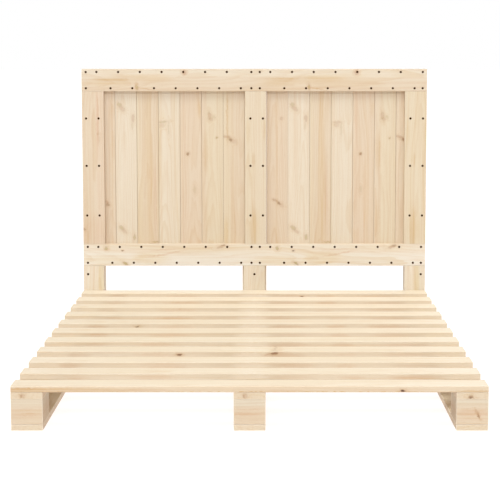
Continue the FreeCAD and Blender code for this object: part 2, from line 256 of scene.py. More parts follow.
# The right half of each rail repeats the left
RAILS = {
    "top": Look(
        ("tan", "cream"),
        meet=1143,
        pith=(15, 170),
        knots=TOP_KNOTS + moved(TOP_KNOTS, -798),
        stains=TOP_STREAKS + moved(TOP_STREAKS, -798),
    ),
    "bottom": Look(
        ("milk", "pale"),
        meet=325,
        pith=(-20, 170),
        knots=LOW_KNOTS + moved(LOW_KNOTS, -800),
        stains=LOW_STREAKS + moved(LOW_STREAKS, -800),
    ),
}

STILE_STREAKS = [
    Stain(740, 455, 18, 100, 1, "amber", 0.55),
    Stain(750, 430, 24, 90, 0, "honey", 0.45),
    Stain(742, 765, 8, 32, 0, "amber", 0.6),
    Stain(792, 905, 8, 46, 0, "amber", 0.5),
    Stain(716, 900, 8, 60, 0, "honey", 0.6),
]
STILES = {
    "left": Look(
        ("tan", "rose"),
        meet=-736,
        knots=[
            Knot(-725, 885, 6, 5, 0, 0.3, "pink"),
            Knot(-720, 860, 4, 12, 0, 0.16, "pink"),
            Knot(-794, 439, 5, 7, 0, 0.5),
        ],
        stains=[
            Stain(-728, 960, 6, 130, 0, "blush", 0.8),
            Stain(-782, 520, 8, 200, 0, "amber", 0.4),
            Stain(-750, 420, 60, 80, 0, "blush", 0.45),
        ],
    ),
    "centre": Look(("straw", "cream"), stains=moved(STILE_STREAKS, -746)),
    "right": Look(("straw", "straw"), stains=STILE_STREAKS),
}

LEGS = {
    "left": Look(
        ("pale", "cream"),
        meet=-732,
        stains=[Stain(-718, 200, 13, 90, 0, "gold", 0.9)],
        edges=0.1,
    ),
    "centre": Look(("pale", "cream"), meet=-8, edges=0.1),
    "right": Look(
        ("pale", "cream"),
        meet=748,
        stains=[Stain(762, 200, 12, 90, 0, "gold", 0.8)],
        edges=0.1,
    ),
}

SLAT_KNOTS = {
    1: [Knot(514, 137, 8, 3.6, 0, 1.0, "bark")],
    4: [
        Knot(-269, 141, 9, 3.5, 0, 0.9),
        Knot(-270, 140, 7, 2.5, 0, 0.9, "bark"),
        Knot(88, 146, 12, 4, 5, 0.85),
        Knot(58, 140, 8, 2, 10, 0.4, "pink"),
    ],
    7: [Knot(-470, 142, 22, 4, 0, 0.2, "olive"), Knot(-476, 139, 6, 2.5, 20, 0.7, "bark")],
    11: [Knot(220, 139, 6, 2.5, 0, 0.95, "bark")],
}

LINE_KNOTS = {
    "runner_left": [Knot(-761, 119, 7, 7, 0, 0.4, "pink"), Knot(-764, 118, 3, 5, 0, 0.4)],
    "runner_centre": [Knot(-16, 118, 8, 7, 0, 0.4, "pink"), Knot(-19, 117, 3, 5, 0, 0.4)],
    "runner_right": [Knot(740, 116, 7, 5, 0, 0.6), Knot(740, 112, 11, 2, 0, 0.45, "bark")],
    "block_right_front": [Knot(759, 68, 3, 8, 35, 0.35, "pink"), Knot(768, 49, 2.5, 8, 30, 0.65)],
}

# Soft bands across the front blocks
BLOCK_BANDS = {
    "left": [Stain(-742, 55, 50, 5, 0, "blush", 0.8), Stain(-750, 72, 45, 3, 0, "blush", 0.4)],
    "centre": [Stain(-10, 57, 60, 5, 0, "blush", 0.8), Stain(-10, 72, 45, 3, 0, "blush", 0.4)],
    "right": [Stain(750, 61, 60, 12, 0, "blush", 0.8), Stain(745, 40, 50, 5, 0, "blush", 0.4)],
}

# The foot slat's bands, and a painted shadow along its lower edge
FOOT_BANDS_AND_SHADOW = [
    Stain(-757, 143.5, 45, 1.8, 0, "late", 1.0),
    Stain(-650, 138, 270, 9, 0, "late", 0.95),
    Stain(-340, 138, 75, 8, 0, "blush", 0.35),
    Stain(110, 136, 70, 6, 0, "blush", 0.25),
    Stain(500, 138, 120, 8, 0, "blush", 0.3),
    Stain(750, 136, 60, 3, 0, "late", 0.8),
    # Painted shadow along the slat's lower edge
    Stain(0, 131.5, 900, 2, 0, "late", 1.0),
]

# Settings


def colour_setting(name, description, *screen_colour):
    return bpy.props.FloatVectorProperty(
        name=name,
        description=description,
        subtype="COLOR",
        min=0,
        max=1,
        default=paint(*screen_colour),
    )


def share_setting(name, description, default):
    return bpy.props.FloatProperty(
        name=name,
        description=description,
        subtype="FACTOR",
        min=0,
        max=1,
        default=default,
    )


def length_setting(name, description, default, least=0.0):
    return bpy.props.FloatProperty(
        name=name,
        description=description,
        subtype="DISTANCE",
        unit="LENGTH",
        min=least,
        default=default,
    )


def number_setting(name, description, default, least=0.0):
    return bpy.props.FloatProperty(name=name, description=description, min=least, default=default)


class TimberSettings(bpy.types.PropertyGroup):
    """Colours and grain of the pine."""

    cream: colour_setting("Cream", "Pale sapwood", 221, 210, 190)
    milk: colour_setting("Milk", "The whitest sapwood", 229, 223, 210)
    pale: colour_setting("Pale", "The palest boards, almost white", 227, 217, 199)
    straw: colour_setting("Straw", "Light yellow wood", 218, 205, 180)
    tan: colour_setting("Tan", "Darker yellow-brown wood", 217, 202, 179)
    rose: colour_setting("Rose", "Pinkish heartwood", 218, 201, 179)
    block: colour_setting("Block", "The rougher wood of the blocks", 211, 194, 169)
    block_pale: colour_setting("Block top", "The paler side of the blocks", 212, 201, 180)
    brown: colour_setting("Brown knot", "The middle of a sound dark knot", 146, 106, 71)
    pink: colour_setting("Pink knot", "A pale knot that hardly shows", 193, 157, 129)
    olive: colour_setting("Olive knot", "A pale knot with a greenish cast", 178, 161, 106)
    bark: colour_setting("Bark", "The almost black middle of a dead knot", 92, 60, 38)
    ring_width: length_setting("Ring width", "From one growth ring to the next", 4.2 * MM, 1 * MM)
    late_wood: share_setting("Late wood", "How dark the line of late wood in each ring is", 0.28)
    roughness: share_setting("Roughness", "Roughness of planed pine", 0.56)
    relief: share_setting("Relief", "How strongly rings and fibres stand out", 0.45)


class FastenerSettings(bpy.types.PropertyGroup):
    """Sizes and colours of the screws, bolts and nails."""

    head_width: length_setting("Screw head", "Width of a screw's head", 10.8 * MM, 5 * MM)
    head_proud: length_setting(
        "Head above wood", "How far a screw's head stands above the board", 0.3 * MM
    )
    black: colour_setting("Black screws", "Blackened steel", 70, 43, 18)
    zinc: colour_setting("Zinc", "Zinc-plated steel", 188, 190, 192)


class StudioSettings(bpy.types.PropertyGroup):
    """The floor, the lamps and the camera."""

    floor_width: length_setting("Floor", "Side of the square floor", 200.0)
    sky: number_setting("Room light", "Strength of the even light from all round", 0.11)
    key: number_setting("Key light", "Strength of the light from high in front", 0.8)
    side: number_setting("Side light", "Strength of the light from the left", 0.9)
    front: number_setting("Front light", "Strength of the soft light from the front", 0.99)
    fill: number_setting("Fill light", "Strength of the soft light from the right", 0.26)
    overhead: number_setting("Overhead light", "Strength of the soft light from above", 1.6)
    back: number_setting("Back light", "Strength of the soft light from behind", 1.0)
    lens: number_setting("Lens", "Focal length of the camera in millimetres", 105.94, 10)


# Materials


class Shade:
    """A socket in a material. Sums written with it add Math nodes."""

    def __init__(self, tree, socket):
        self.tree = tree
        self.socket = socket

    def maths(self, operation, *values):
        node = self.tree.nodes.new("ShaderNodeMath")
        node.operation = operation
        for slot, value in zip(node.inputs, values):
            if isinstance(value, Shade):
                self.tree.links.new(value.socket, slot)
            else:
                slot.default_value = value
        return Shade(self.tree, node.outputs[0])

    def __add__(self, other):
        return self.maths("ADD", self, other)

    def __radd__(self, other):
        return self.maths("ADD", other, self)

    def __sub__(self, other):
        return self.maths("SUBTRACT", self, other)

    def __rsub__(self, other):
        return self.maths("SUBTRACT", other, self)

    def __mul__(self, other):
        return self.maths("MULTIPLY", self, other)

    def __rmul__(self, other):
        return self.maths("MULTIPLY", other, self)

    def __truediv__(self, other):
        return self.maths("DIVIDE", self, other)

    def __rtruediv__(self, other):
        return self.maths("DIVIDE", other, self)

    def __pow__(self, other):
        return self.maths("POWER", self, other)

    def __abs__(self):
        return self.maths("ABSOLUTE", self)

    def __mod__(self, other):
        return self.maths("FLOORED_MODULO", self, other)

    def least(self, other):
        return self.maths("MINIMUM", self, other)

    def most(self, other):
        return self.maths("MAXIMUM", self, other)


class Nodes:
    """The nodes of a material or of the room."""

    def __init__(self, tree):
        self.tree = tree
        self.tree.nodes.clear()

    def node(self, kind, settings=None, values=None, result=0):
        """Adds a node, sets it up and then fills its sockets."""
        node = self.tree.nodes.new(kind)
        for name, setting in (settings or {}).items():
            setattr(node, name, setting)
        for name, value in (values or {}).items():
            slot = node.inputs[name]
            if isinstance(value, Shade):
                self.tree.links.new(value.socket, slot)
            elif slot.type == "RGBA" and len(value) == 3:
                slot.default_value = (*value, 1)
            else:
                slot.default_value = value
        return Shade(self.tree, node.outputs[result])

    def end_in(self, kind, shader):
        """Ends the nodes in an output."""
        output = self.tree.nodes.new(kind)
        self.tree.links.new(shader.socket, output.inputs["Surface"])


class Finish(Nodes):
    """A material and the nodes that paint it."""

    def __init__(self, name):
        self.material = bpy.data.materials.new(name)
        self.material.use_nodes = True
        super().__init__(self.material.node_tree)

    def object_place(self):
        """The place on the object, in metres."""
        return self.node("ShaderNodeTexCoord", result="Object")

    def millimetres(self):
        """The place on the object, in millimetres."""
        values = {"Vector": self.object_place(), "Scale": (1 / MM,) * 3}
        return self.node("ShaderNodeMapping", values=values)

    def axes(self, vector):
        """A vector's three parts."""
        split = self.node("ShaderNodeSeparateXYZ", values={0: vector})
        return [Shade(self.tree, part) for part in split.socket.node.outputs]

    def rise(self, value, low, high):
        """Goes smoothly from 0 to 1 as the value goes from low to high."""
        return self.node(
            "ShaderNodeMapRange",
            {"interpolation_type": "SMOOTHSTEP"},
            {"Value": value, "From Min": low, "From Max": high},
        )

    def noise(self, place, size, seed, detail=2, roughness=0.5, result="Fac"):
        """Soft noise whose lumps have this size along each axis."""
        spread = self.node(
            "ShaderNodeMapping",
            values={"Vector": place, "Location": seed, "Scale": [1 / length for length in size]},
        )
        values = {"Vector": spread, "Scale": 1, "Detail": detail, "Roughness": roughness}
        return self.node("ShaderNodeTexNoise", values=values, result=result)

    def blend(self, share, first, second, way="MIX"):
        """Goes from the first colour to the second as the share goes from 0 to 1."""
        return self.node(
            "ShaderNodeMix",
            {"data_type": "RGBA", "blend_type": way},
            {0: share, 6: first, 7: second},
            result=2,
        )

    def tinted(self, colour, tint, share):
        """Lays a tint over a colour."""
        return self.blend(share, colour, TINTS[tint], "MULTIPLY")

    def vectors(self, way, first, second=(0, 0, 0), scale=1, result="Vector"):
        values = {0: first, 1: second, 3: scale}
        return self.node("ShaderNodeVectorMath", {"operation": way}, values, result)

    def spot(self, place, mark):
        """The distance from an oval's middle, where 1 is its rim."""
        values = {
            "Vector": place,
            "Location": (mark.x, 0, mark.z),
            "Rotation": (0, -math.radians(mark.turn), 0),
            "Scale": (mark.wide, FAR, mark.tall),
        }
        local = self.node("ShaderNodeMapping", {"vector_type": "TEXTURE"}, values)
        return self.vectors("LENGTH", local, result="Value")

    def surface(self, colour, roughness, height, depth, relief, **constants):
        """Ends the nodes in a shader and returns the material."""
        bumps = {"Strength": relief, "Distance": depth, "Height": height}
        normal = self.node("ShaderNodeBump", values=bumps)
        values = {"Base Color": colour, "Roughness": roughness, "Normal": normal, **constants}
        self.end_in("ShaderNodeOutputMaterial", self.node("ShaderNodeBsdfPrincipled", values=values))
        return self.material


class Board(Finish):
    """The finish of one board. Its fibres follow one axis and it is thinnest along another.

    The pieces of the grain are worked out first, in a fixed order, because each draws its
    own numbers from the board's dice. Lengths are in millimetres."""

    # The lumps of each noise, across and along the fibres
    LUMPS = {
        "ruffle": (8, 16),
        "drift": (110, 700),
        "wave": (24, 190),
        "fibre": (0.8, 42),
        "canals": (0.7, 7),
        "bands": (9, 620),
        "heart": (60, 420),
    }
    # How far a noise may be shifted, so that no two boards share one
    SEED_REACH = 900
    # How far the outline of a knot or a stain strays
    RUFFLE_REACH = 14
    # How far off the board's middle its pith lies, across and through it
    PITH_ACROSS = 45
    PITH_THROUGH = (45, 130)
    # How far the rings stray slowly and in small waves, and how fast the tree grows thinner
    DRIFT_REACH = 34
    WAVE_REACH = 6
    TAPER = (0.006, 0.014)
    # A number of rings that keeps the first ring of every board above 0
    FIRST_RING = 40
    # Half the width of the soft change where two tones meet, and how far it wanders
    MEET_SOFTNESS = 14
    MEET_WANDER = 30
    # How deep the relief of the wood goes
    RELIEF_DEPTH = 0.35 * MM

    def __init__(self, label, grain, thin, look):
        super().__init__("pine_" + label)
        self.timber = bpy.context.scene.bed_timber
        self.dice = random.Random(label)
        self.look = look
        self.low, self.high = (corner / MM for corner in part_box(label))
        self.middle = (self.low + self.high) / 2
        self.along = "XYZ".index(grain)
        self.through = "XYZ".index(thin)
        self.across = 3 - self.along - self.through
        self.place = self.millimetres()
        self.parts = self.axes(self.place)
        self.rag_outlines()
        self.swell_round_knots()
        self.grow_rings()
        self.grow_fibres()
        self.find_faces()

    def lumps(self, kind, **more):
        """One of the board's noises, stretched along its fibres."""
        short, long = self.LUMPS[kind]
        size = [long if axis == self.along else short for axis in range(3)]
        seed = [self.dice.uniform(-self.SEED_REACH, self.SEED_REACH) for _ in range(3)]
        return self.noise(self.place, size, seed, **more)

    def rag_outlines(self):
        """A place that strays a little, which gives ovals a ragged outline."""
        ruffle = self.lumps("ruffle", detail=3, result="Color")
        ruffle = self.vectors("SUBTRACT", ruffle, (0.5, 0.5, 0.5))
        stray = self.vectors("SCALE", ruffle, scale=self.RUFFLE_REACH)
        self.ragged = self.vectors("ADD", self.place, stray)

    def swell_round_knots(self):
        """How far each knot reaches and how much the rings swell round them all."""
        self.reaches = [self.spot(self.ragged, mark) for mark in self.look.knots]
        self.halos = [1 - self.rise(reach, 0.6, 3.6) for reach in self.reaches]
        self.bulge = 0
        for mark, halo in zip(self.look.knots, self.halos):
            self.bulge = halo * halo * (1.5 * max(mark.wide, mark.tall)) + self.bulge

    def draw_pith(self):
        across = self.dice.uniform(-self.PITH_ACROSS, self.PITH_ACROSS)
        return across, self.dice.choice((-1, 1)) * self.dice.uniform(*self.PITH_THROUGH)

    def grow_rings(self):
        """Growth rings round a pith that wanders and tapers along the tree."""
        pith = self.look.pith or self.draw_pith()
        side = self.parts[self.across] - (self.middle[self.across] + pith[0])
        depth = self.parts[self.through] - (self.middle[self.through] + pith[1])
        drift = self.lumps("drift", detail=1)
        self.wave = self.lumps("wave", detail=2)
        radius = (side * side + depth * depth) ** 0.5
        radius = radius + drift * self.DRIFT_REACH + self.wave * self.WAVE_REACH
        radius = radius + self.parts[self.along] * self.dice.uniform(*self.TAPER) + self.bulge
        rings = radius / (self.timber.ring_width / MM) + self.FIRST_RING
        phase = rings % 1
        self.late = self.rise(phase, 0.3, 0.92) * (1 - self.rise(phase, 0.93, 1))
        self.years = self.node(
            "ShaderNodeTexNoise",
            {"noise_dimensions": "1D"},
            {"W": rings * 0.47 + self.dice.uniform(0, 90), "Scale": 1, "Detail": 1},
        )

    def grow_fibres(self):
        """Fibres, the resin canals between them and the change from sapwood to heartwood."""
        self.fibre = self.lumps("fibre", detail=3, roughness=0.6)
        self.canals = self.rise(self.lumps("canals", detail=1), 0.66, 0.76)
        self.bands = self.lumps("bands", detail=3, roughness=0.55)
        self.heart = self.lumps("heart", detail=2)

    def find_faces(self):
        """Which places lie on a sawn end and which on a narrow edge."""
        facing = self.axes(self.node("ShaderNodeNewGeometry", result="Normal"))
        self.end = self.rise(abs(facing[self.along]), 0.5, 0.7)
        # The narrow faces, which are darkened with painted shade
        self.edge = self.rise(abs(facing[self.across]), 0.5, 0.7)

    def clear_wood(self):
        """The board's colour without its knots."""
        look = self.look
        first, second = (getattr(self.timber, tone) for tone in look.tones)
        change = self.heart * 1.2 - 0.1
        if look.meet is not None:
            soft = self.parts[self.across] + (self.heart - 0.5) * self.MEET_WANDER
            change = self.rise(soft, look.meet - self.MEET_SOFTNESS, look.meet + self.MEET_SOFTNESS)
        colour = self.blend(change, first, second)
        colour = self.tinted(colour, "rose", self.rise(self.bands, 0.42, 0.72) * 0.45)
        colour = self.tinted(colour, "honey", self.rise(self.years, 0.5, 0.78) * 0.3)
        ring_shade = self.late * (self.years * 0.9 + 0.35 + self.end * 0.4) * self.timber.late_wood
        colour = self.tinted(colour, "late", ring_shade)
        for mark in look.stains:
            mask = 1 - self.rise(self.spot(self.ragged, mark), 0.45, 1.5)
            mask = mask * (self.rise(self.bands, 0.3, 0.7) * 0.5 + 0.5) * mark.strength
            colour = self.tinted(colour, mark.tint, mask)
        colour = self.tinted(colour, "fibre", self.rise(self.fibre, 0.5, 0.8) * 0.5)
        colour = self.tinted(colour, "canal", self.canals * 0.45)
        # Sawn ends are darker as end grain is, partly painted shade on the blocks; narrow faces get
        # painted shade
        colour = self.tinted(colour, "sawn", self.end * look.ends)
        return self.tinted(colour, "edge", self.edge * look.edges)

    def with_knots(self, colour, height, roughness):
        """Adds each knot, with its rings and its dark rim, and stands it out a little."""
        for mark, reach, halo in zip(self.look.knots, self.reaches, self.halos):
            body = (1 - self.rise(reach, 0.5, 1.25)) * mark.dark
            circles = self.rise(abs((reach * 3.2) % 1 - 0.5), 0.1, 0.5)
            rim = self.rise(reach, 0.6, 0.95) * (1 - self.rise(reach, 1, 1.5)) * mark.dark
            colour = self.tinted(colour, "halo", halo * (mark.dark * 0.6))
            core = getattr(self.timber, mark.hue)
            knot = self.blend(circles * 0.3, core, [part * 0.62 for part in core])
            colour = self.blend(body, colour, knot)
            colour = self.tinted(colour, "rim", rim * 0.4)
            height = height + body * 0.5
            roughness = roughness - body * 0.14
        return colour, height, roughness

    def wear_and_light_corners(self):
        """How near a place is to one of the board's long corners. These are worn pale, and on the
        blocks and skids they also carry painted light that fills the shade of the seams.
        """
        gaps = []
        for axis in range(3):
            half = (self.high[axis] - self.low[axis]) / 2
            gaps.append(half - abs(self.parts[axis] - self.middle[axis]))
        lesser = gaps[0].least(gaps[1])
        greater = gaps[0].most(gaps[1])
        second_gap = lesser.most(greater.least(gaps[2]))
        return 1 - self.rise(second_gap + (self.wave - 0.5) * 2.4, 0.8, 2.6)

    def finished(self):
        """Ends the nodes and returns the material."""
        height = self.late * 0.35 + self.fibre * 0.6 - self.canals * 0.4
        roughness = (self.fibre - 0.5) * 0.16 - self.late * 0.07 + self.end * 0.16
        roughness = roughness + self.timber.roughness
        colour, height, roughness = self.with_knots(self.clear_wood(), height, roughness)
        rubbed = self.wear_and_light_corners()
        # Paled corners: wear, and on the blocks and skids painted light in the shaded seams
        colour = self.blend(rubbed * self.look.rubbed, colour, self.timber.pale)
        roughness = roughness - rubbed * 0.08
        return self.surface(colour, roughness, height, self.RELIEF_DEPTH, self.timber.relief)


def dress(label, grain, thin, look):
    """Gives a CAD piece its own wood, through its object's own slots."""
    material = Board(label, grain, thin, look).finished()
    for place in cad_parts[label].material_slots:
        place.link = "OBJECT"
        place.material = material


def metal(name, colour, rough, metallic, wear):
    """Steel with a thin coating, scratched and a little worn."""
    steel = Finish(name)
    place = steel.millimetres()
    cloud = steel.noise(place, (3, 3, 3), (11, 5, 7), detail=4)
    scratch = steel.noise(place, (0.25, 2.5, 0.25), (3, 9, 1), detail=2)
    worn = steel.rise(cloud, 0.58, 0.75) * 0.5
    shade = steel.blend(worn, colour, wear)
    shade = steel.tinted(shade, "scratch", steel.rise(scratch, 0.55, 0.8) * 0.3)
    roughness = (cloud - 0.5) * 0.3 + rough
    return steel.surface(shade, roughness, scratch + cloud, 0.05 * MM, 0.5, Metallic=metallic)


# Modelling

# Two levels closer than this are the same
HAIR = 0.001 * MM
# The same for the CAD's corners, along an axis and in space
CAD_HAIR = 0.02 * MM
SAME_CORNER = 0.01 * MM
# No two fasteners of a group stand nearer than this
FASTENER_ROOM = 20 * MM
# How far the rim of a sunk head lies below the board
RIM_DEPTH = 0.2 * MM


def clear_selection():
    if bpy.context.object is not None and bpy.context.object.mode != "OBJECT":
        bpy.ops.object.mode_set(mode="OBJECT")
    bpy.ops.object.select_all(action="DESELECT")


def apply_place():
    bpy.ops.object.transform_apply(location=True, rotation=True, scale=True)


def choose(piece, kind, wanted):
    """Selects the edges or faces in edit mode that have every corner where it is wanted."""
    bpy.ops.mesh.select_mode(type=kind)
    bpy.ops.mesh.select_all(action="DESELECT")
    shape = bmesh.from_edit_mesh(piece.data)
    for item in {"EDGE": shape.edges, "FACE": shape.faces}[kind]:
        item.select_set(all(wanted(corner.co) for corner in item.verts))
    bmesh.update_edit_mesh(piece.data)


def extrude(length, narrowing):
    """Draws the selected face out along -Z and then scales it about the axis."""
    bpy.ops.mesh.extrude_region_move(TRANSFORM_OT_translate={"value": (0, 0, -length)})
    if narrowing != 1:
        bpy.ops.transform.resize(value=(narrowing, narrowing, 1), center_override=(0, 0, 0))


def turned_bar(name, radius, top, rim, steps, sides):
    """A turned piece about the Z axis: a disc from its top down to its rim, then a list of
    lengths and narrowings below it. It is left in edit mode."""
    clear_selection()
    bpy.ops.mesh.primitive_cylinder_add(
        vertices=sides, radius=radius, depth=top - rim, location=(0, 0, (top + rim) / 2)
    )
    piece = bpy.context.object
    piece.name = name
    apply_place()
    bpy.ops.object.mode_set(mode="EDIT")
    level = rim
    for length, narrowing in steps:
        choose(piece, "FACE", lambda corner, level=level: abs(corner.z - level) < HAIR)
        extrude(length, narrowing)
        level -= length
    return piece


def soften(piece, level, width):
    """Rounds the outline at a level and leaves edit mode."""
    choose(piece, "EDGE", lambda corner: abs(corner.z - level) < HAIR)
    bpy.ops.mesh.bevel(offset=width, segments=2, affect="EDGES")
    bpy.ops.object.mode_set(mode="OBJECT")


def cut_slot(piece, long, wide, top, deep, turn):
    """Cuts a slot into the top of a piece. Its floor is shorter and narrower than its mouth."""
    floor = (0.45, 0.7, 1)
    clear_selection()
    # The cutter stands twice as far above the top as it reaches below it
    bpy.ops.mesh.primitive_cube_add(
        size=1, location=(0, 0, top + deep / 2), scale=(long, wide, 3 * deep)
    )
    cutter = bpy.context.object
    apply_place()
    bpy.ops.object.mode_set(mode="EDIT")
    choose(cutter, "FACE", lambda corner: corner.z < top)
    bpy.ops.transform.resize(value=floor, center_override=(0, 0, 0))
    bpy.ops.object.mode_set(mode="OBJECT")
    cutter.rotation_euler.z = turn
    bpy.context.view_layer.objects.active = piece
    piece.select_set(True)
    modifier = piece.modifiers.new("slot", "BOOLEAN")
    modifier.object = cutter
    modifier.operation = "DIFFERENCE"
    modifier.solver = "EXACT"
    bpy.ops.object.modifier_apply(modifier=modifier.name)
    bpy.data.objects.remove(cutter)


def ends_of(label, axis, level):
    """The middles of a CAD group's solids, from their corners that lie at a level along an axis."""
    groups = []
    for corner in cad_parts[label].data.vertices:
        place = corner.co
        if abs(place[axis] - level) > CAD_HAIR:
            continue
        near = next((group for group in groups if (group[0] - place).length < FASTENER_ROOM), None)
        if near is None:
            groups.append([place.copy()])
        elif all((place - other).length > SAME_CORNER for other in near):
            near.append(place.copy())
    return [sum(group, Vector()) / len(group) for group in groups]


def copy_to(master, place, turn):
    """A copy with its own mesh, stood at a place and applied."""
    clear_selection()
    master.select_set(True)
    bpy.context.view_layer.objects.active = master
    bpy.ops.object.duplicate()
    piece = bpy.context.object
    piece.location = place
    piece.rotation_euler = turn
    apply_place()
    return piece


def join(pieces):
    """Joins pieces into the first of them."""
    clear_selection()
    for piece in pieces:
        piece.select_set(True)
    bpy.context.view_layer.objects.active = pieces[0]
    bpy.ops.object.join()
    return bpy.context.object


def wood_screw(length):
    """A countersunk screw with its head towards +Z and a cross in it."""
    steel = bpy.context.scene.bed_fasteners
    radius = steel.head_width / 2
    shank_radius = 2 * MM
    cone = 2.4 * MM
    point = 6 * MM
    shank = length - RIM_DEPTH - cone - point
    steps = [(cone, shank_radius / radius), (shank, 1), (point, 0.12)]
    screw = turned_bar("screw_master", radius, steel.head_proud, -RIM_DEPTH, steps, sides=18)
    soften(screw, steel.head_proud, 0.28 * MM)
    for turn in (0, math.pi / 2):
        cut_slot(screw, 4.4 * MM, 1.0 * MM, steel.head_proud, 1.5 * MM, turn)
    return screw


def wire_nail(length):
    """A round nail with its flat head towards +Z."""
    radius = 3.5 * MM
    top = 0.15 * MM
    neck = 0.8 * MM
    point = 3 * MM
    shank = length - RIM_DEPTH - neck - point
    steps = [(neck, 0.42), (shank, 1), (point, 0.1)]
    nail = turned_bar("nail_master", radius, top, -RIM_DEPTH, steps, sides=12)
    soften(nail, top, 0.12 * MM)
    return nail


def coach_bolt(length):
    """A hexagon head towards +Z on a round washer, above a long shank."""
    washer_top = 1.5 * MM
    neck = 0.2 * MM
    steps = [(neck, 0.44), (length, 1)]
    washer = turned_bar("bolt_master", 9 * MM, washer_top, 0, steps, sides=28)
    soften(washer, washer_top, 0.25 * MM)
    head_top = 5.2 * MM
    head = turned_bar("bolt_head", 7.4 * MM, head_top, 1.4 * MM, [], sides=6)
    soften(head, head_top, 0.7 * MM)
    return join([washer, head])


def place_fasteners(name, master, stands, material, node):
    """Copies a master to each place and turn, and joins the copies into one piece that
    stands for a CAD node."""
    copies = [copy_to(master, place, turn) for place, turn in stands]
    bpy.data.objects.remove(master)
    whole = join(copies)
    whole.name = name
    whole.data.materials.clear()
    whole.data.materials.append(material)
    bpy.ops.object.shade_smooth_by_angle(angle=math.radians(35))
    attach(whole, "root")
    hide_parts(node)
    clear_selection()


# The pieces

SIDES = ("left", "centre", "right")
BLOCK_PLACES = ("front", "middle", "rear")
SLAT_COUNT = 11

# Painted light on a slat's front over the lines of blocks
SLAT_PAINTED_LIGHT = [
    Stain(-747, 140, 60, 10, 0, "painted_light", 0.5),
    Stain(0, 140, 60, 10, 0, "painted_light", 1.0),
    Stain(747, 140, 60, 10, 0, "painted_light", 0.5),
]
# Where the darker places on a slat's front lie, how wide they are and how far each may stray
SLAT_BLUSHES = ((-340, 75), (138, 70), (570, 80), (-620, 40), (340, 40))
BLUSH_STRAY = 35

# The tones of the boards along each line, and the share that pales their corners: wear, and on the
# skids also painted light in the shaded seams
LINE_BOARDS = {
    "skid_": (("tan", "straw"), 0.9),
    "runner_": (("straw", "tan"), 0.25),
}
LINE_PITH = (12, -150)

# How long each kind of screw is
SCREW_LENGTHS = {"rail": 35 * MM, "stile": 68 * MM, "leg": 68 * MM}
# How high the bolts' heads stand in the CAD, and how far their shanks reach here
BOLT_HEAD = 5.3 * MM
BOLT_SHANK = 117 * MM
BLOCK_NAIL = 46 * MM


class BED_OT_slats(bpy.types.Operator):
    """Gives each slat its own grain, knots and tone"""

    bl_idname = "bed.slats"
    bl_label = "Slats"

    def execute(self, context):
        for number in range(1, SLAT_COUNT + 1):
            label = f"slat_{number:02d}"
            dice = random.Random(label)
            tones = dice.choice([("straw", "cream"), ("cream", "straw")])
            marks = list(SLAT_PAINTED_LIGHT)
            for x, wide in SLAT_BLUSHES:
                spot_x = x + dice.uniform(-BLUSH_STRAY, BLUSH_STRAY)
                tall = dice.uniform(6, 10)
                strength = dice.uniform(0.35, 0.75)
                marks.append(Stain(spot_x, 140, wide, tall, 0, "blush", strength))
            knots = SLAT_KNOTS.get(number, [])
            # A slat's front is a narrow face and gets painted shade, the foot slat's more than the rest
            look = Look(tones, knots=knots, stains=marks, edges=0.2, rubbed=0.1)
            if number == 1:
                look = look._replace(stains=FOOT_BANDS_AND_SHADOW, edges=0.28)
            dress(label, "X", "Z", look)
        return {"FINISHED"}


class BED_OT_lines(bpy.types.Operator):
    """Dresses the skids, the blocks and the runners under the slats"""

    bl_idname = "bed.lines"
    bl_label = "Skids, blocks and runners"

    def execute(self, context):
        for side in SIDES:
            for name, (tones, rubbed) in LINE_BOARDS.items():
                knots = LINE_KNOTS.get(name + side, [])
                look = Look(tones, pith=LINE_PITH, knots=knots, ends=0.1, rubbed=rubbed)
                dress(name + side, "Y", "Z", look)
            for place in BLOCK_PLACES:
                label = f"block_{side}_{place}"
                # The blocks' sawn sides are darker, as end grain and partly as painted shade under the
                # deck, and their corners carry wear and painted light in the seams
                look = Look(
                    ("block", "block_pale"),
                    meet=82,
                    knots=LINE_KNOTS.get(label, []),
                    stains=BLOCK_BANDS[side],
                    ends=0.25,
                    rubbed=0.6,
                )
                dress(label, "X", "Y", look)
        return {"FINISHED"}


class BED_OT_headboard_frame(bpy.types.Operator):
    """Dresses the two rails and the three stiles"""

    bl_idname = "bed.headboard_frame"
    bl_label = "Rails and stiles"

    def execute(self, context):
        for name, look in RAILS.items():
            dress(name + "_rail", "X", "Y", look)
        for name, look in STILES.items():
            dress("stile_" + name, "Z", "Y", look)
        return {"FINISHED"}


class BED_OT_planks(bpy.types.Operator):
    """Dresses the seventeen upright planks"""

    bl_idname = "bed.planks"
    bl_label = "Planks"

    def execute(self, context):
        for number, look in PLANKS.items():
            dress(f"plank_{number:02d}", "Z", "Y", look)
        return {"FINISHED"}


class BED_OT_legs(bpy.types.Operator):
    """Dresses the legs and the posts behind the planks"""

    bl_idname = "bed.legs"
    bl_label = "Legs and posts"

    def execute(self, context):
        for side, look in LEGS.items():
            dress("leg_" + side, "Z", "Y", look)
            dress("post_" + side, "Z", "Y", Look(("pale", "cream"), edges=0))
        return {"FINISHED"}


class BED_OT_screws(bpy.types.Operator):
    """Puts a black cross-head screw into every screw hole"""

    bl_idname = "bed.screws"
    bl_label = "Screws"

    def execute(self, context):
        black = metal(
            "blackened_steel", context.scene.bed_fasteners.black, 0.55, 0.95, paint(92, 62, 28)
        )
        for kind, length in SCREW_LENGTHS.items():
            node = kind + "_screws"
            dice = random.Random(node)
            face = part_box(node)[0].y
            stands = []
            for place in ends_of(node, 1, face):
                stands.append((place, (math.pi / 2, dice.uniform(0, math.pi), 0)))
            name = kind + "_cross_screws"
            place_fasteners(name, wood_screw(length), stands, black, node)
        return {"FINISHED"}


